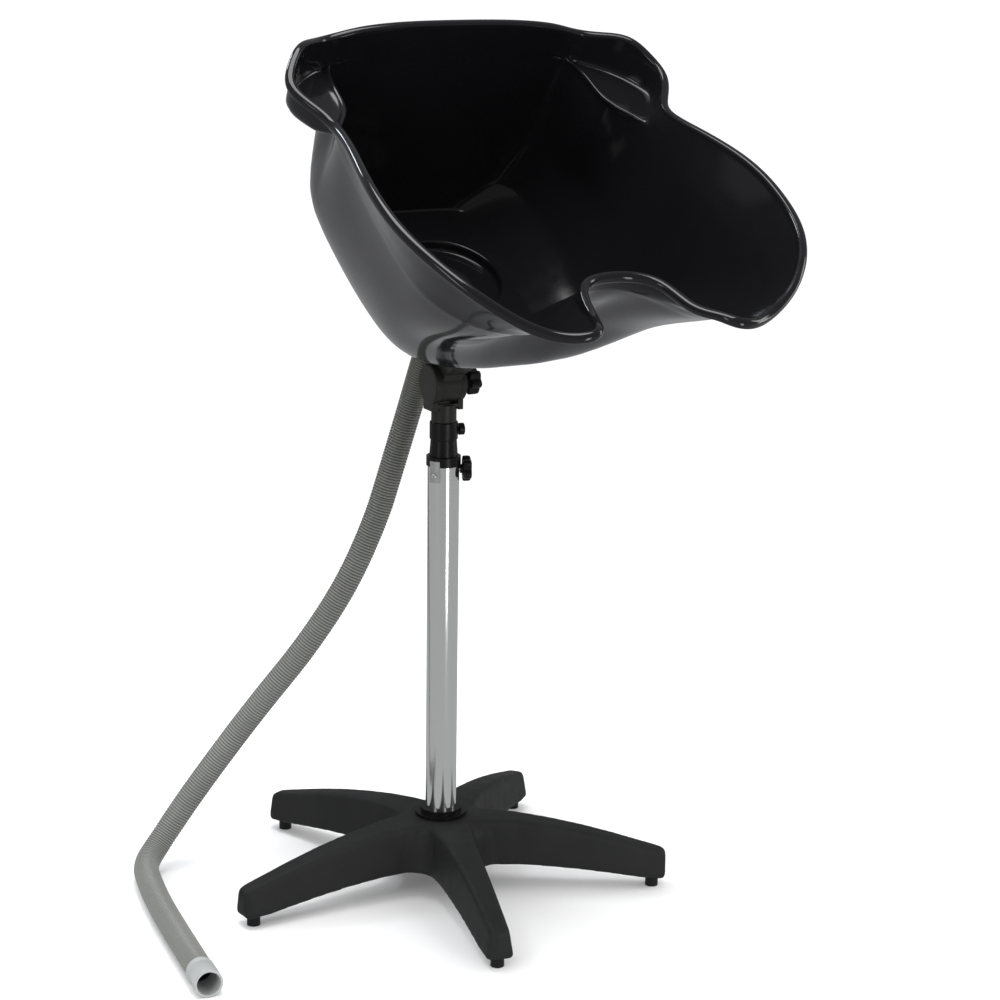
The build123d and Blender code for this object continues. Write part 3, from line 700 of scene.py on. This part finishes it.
def build_base():
    """Hub, arms and valleys melted into one soft-edged moulding."""
    points, faces = [], []

    def join(body):
        first = len(points)
        points.extend(body[0])
        faces.extend(tuple(first + k for k in face) for face in body[1])

    ring = [(cos(a), sin(a)) for a in circle_angles(HUB_SIDES)]
    join(loop_body([[(r * c, r * s, z) for c, s in ring] for r, z in HUB_PROFILE]))
    arm = loop_body([rounded_trapezoid(*section) for section in ARM_SECTIONS])
    web = valley_web()
    for k in range(ARM_COUNT):
        angle = FIRST_ARM + 2 * pi * k / ARM_COUNT
        join((turned(arm[0], angle), arm[1]))
        join((turned(web[0], angle + pi / ARM_COUNT), web[1]))
    obj = recalculated(add_mesh("base_star_moulding", points, faces, MATERIALS["base_nylon"]))
    remesh = obj.modifiers.new("remesh", "REMESH")
    remesh.mode = "VOXEL"
    remesh.voxel_size = MELT_VOXEL
    remesh.use_smooth_shade = True
    smooth = obj.modifiers.new("smooth", "SMOOTH")
    smooth.factor = 0.5
    smooth.iterations = MELT_ROUNDS
    evaluated = obj.evaluated_get(bpy.context.evaluated_depsgraph_get())
    final = bpy.data.meshes.new_from_object(evaluated)
    obj.modifiers.clear()
    obj.data = final
    final.materials.clear()
    final.materials.append(MATERIALS["base_nylon"])
    final.polygons.foreach_set("use_smooth", [True] * len(final.polygons))
    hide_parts("base_star")
    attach(obj, "stand")


build_base()


# ---- hand knobs -----------------------------------------------------------------------
STEPS_PER_LOBE = 24


def knob_radius(angle, radius, lobes, depth):
    """Outline of a star knob: round lobes with rounded valleys."""
    wave = 0.5 + 0.5 * cos(lobes * angle)
    return radius - depth * (1 - wave ** 0.75)


def star_knob(name, centre, axis, turn, radius, lobes, profile, depth, node, body):
    """Lobed knob; its profile gives the lobes' share, the round radius and the place on the axis."""
    axis = Vector(axis).normalized()
    side = axis.cross(Vector((0, 0, 1))).normalized()
    up = side.cross(axis)
    steps = lobes * STEPS_PER_LOBE
    loops = []
    for share, round_r, out in profile:
        loop = []
        for k in range(steps):
            angle = 2 * pi * k / steps
            reach = knob_radius(angle + turn, radius, lobes, depth) * share + round_r * (1 - share)
            p = Vector(centre) + axis * out + (side * cos(angle) + up * sin(angle)) * reach
            loop.append(tuple(p))
        loops.append(loop)
    points, faces = loop_body(loops)
    obj = recalculated(add_mesh(name, points, faces, MATERIALS["knob_plastic"]))
    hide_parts(node)
    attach(obj, body)


TILT_AXIS_MM = (0.0, 0.0, 632.0)
TILT_KNOB_PROFILE = [
    (0, 8.5, 21.6), (0, 9.6, 22.2), (0, 9.8, 28.4), (0.75, 10, 29.2), (0.95, 10, 29.9), (1.0, 10, 31.4),
    (1.0, 10, 38.5), (0.975, 10, 41.0), (0.9, 10, 42.8), (0.74, 10, 43.6), (0, 9.0, 43.6), (0, 7.6, 43.0),
    (0, 3.0, 43.0),
]
HEIGHT_KNOB_PROFILE = [
    (0, 4.8, 19.9), (0, 5.4, 20.3), (0, 5.5, 22.6), (0.7, 7, 23.1), (0.95, 7, 23.8), (1.0, 7, 25.0),
    (1.0, 7, 29.6), (0.97, 7, 31.4), (0.88, 7, 32.6), (0.7, 7, 33.0), (0, 7.0, 33.0), (0, 6.2, 32.6),
    (0, 2.0, 32.6),
]
HEIGHT_KNOB_MM = (0.0, 0.0, 527.0)
HEIGHT_KNOB_TURN = radians(-20)
HEIGHT_KNOB_AXIS = (cos(HEIGHT_KNOB_TURN), sin(HEIGHT_KNOB_TURN), 0)
star_knob("tilt_hand_knob", TILT_AXIS_MM, (1, 0, 0), turn=0.2, radius=16.5, lobes=6,
          profile=TILT_KNOB_PROFILE, depth=4.2, node="tilt_knob", body="tilt_clamp")
star_knob("height_hand_knob", HEIGHT_KNOB_MM, HEIGHT_KNOB_AXIS, turn=0.5, radius=16.0, lobes=5,
          profile=HEIGHT_KNOB_PROFILE, depth=4.4, node="height_knob", body="height_clamp")

# ---- finishes of the CAD pieces ----------------------------------------------------------
record_slots = {part["node"]: part["material_slot"] for part in frame["record"]["subparts"]}
for node, obj in frame["nodes"].items():
    obj.data.materials.clear()
    obj.data.materials.append(MATERIALS[record_slots[node]])

# ---- studio ------------------------------------------------------------------------------
FLOOR_R = 1.85
WHITE = 1.05
DIM_LOW = 0.46
DIM_HIGH = 0.27
BOWL = (0.1, -0.05, 0.78)
COLUMN = (0, 0, 0.5)


def add_area(name, place, target, size, size_y, power, colour=(1, 1, 1)):
    """Soft rectangular light, in metres and watts, aimed at a target and unseen by the camera."""
    data = bpy.data.lights.new(name, "AREA")
    data.shape = "RECTANGLE"
    data.size, data.size_y = size, size_y
    data.energy = power
    data.color = colour
    light = bpy.data.objects.new(name, data)
    light.location = place
    light.rotation_euler = (Vector(target) - Vector(place)).to_track_quat("-Z", "Y").to_euler()
    light.visible_camera = False
    scene.collection.objects.link(light)


def add_floor():
    """Pale round floor that fades into the white surroundings."""
    bpy.ops.mesh.primitive_circle_add(vertices=96, radius=FLOOR_R, fill_type="NGON")
    floor = bpy.context.object
    floor.name = "studio_floor"
    floor.data.materials.append(
        material("floor_white", (0.93, 0.93, 0.93), 0.7, grain=40, bump=0.0, mottle=0.004)
    )
    floor.visible_glossy = False


def add_world():
    """White surroundings; reflections see them dimmer, and paler towards the floor."""
    world = bpy.data.worlds.new("studio")
    world.use_nodes = True
    nodes, links = world.node_tree.nodes, world.node_tree.links
    white = nodes["Background"]
    white.inputs["Color"].default_value = (1, 1, 1, 1)
    white.inputs["Strength"].default_value = WHITE
    dim = nodes.new("ShaderNodeBackground")
    dim.inputs["Color"].default_value = (0.97, 0.98, 1.0, 1)
    direction = nodes.new("ShaderNodeTexCoord")
    parts = nodes.new("ShaderNodeSeparateXYZ")
    fade = nodes.new("ShaderNodeMapRange")
    fade.inputs["From Min"].default_value = -0.35
    fade.inputs["From Max"].default_value = 0.05
    fade.inputs["To Min"].default_value = DIM_LOW
    fade.inputs["To Max"].default_value = DIM_HIGH
    links.new(direction.outputs["Generated"], parts.inputs["Vector"])
    links.new(parts.outputs["Z"], fade.inputs["Value"])
    links.new(fade.outputs["Result"], dim.inputs["Strength"])
    path = nodes.new("ShaderNodeLightPath")
    choose = nodes.new("ShaderNodeMixShader")
    links.new(path.outputs["Is Glossy Ray"], choose.inputs["Fac"])
    links.new(white.outputs["Background"], choose.inputs[1])
    links.new(dim.outputs["Background"], choose.inputs[2])
    links.new(choose.outputs["Shader"], nodes["World Output"].inputs["Surface"])
    scene.world = world


add_floor()
add_world()
scene.view_settings.view_transform = "Standard"
add_area("overhead_soft", (-0.15, -0.20, 2.3), BOWL, 1.2, 1.0, 30)
add_area("wing_soft", (-0.75, 1.45, 2.05), (0.2, -0.33, 0.8), 0.45, 0.32, 9, (0.86, 0.92, 1.0))
add_area("left_strip", (-2.3, -0.9, 1.0), COLUMN, 0.5, 1.6, 12)
add_area("front_strip", (0.10, -1.15, 0.34), (0, 0, 0.34), 0.22, 0.6, 3)
add_area("right_strip", (2.3, -0.6, 1.2), COLUMN, 0.5, 2.0, 14)
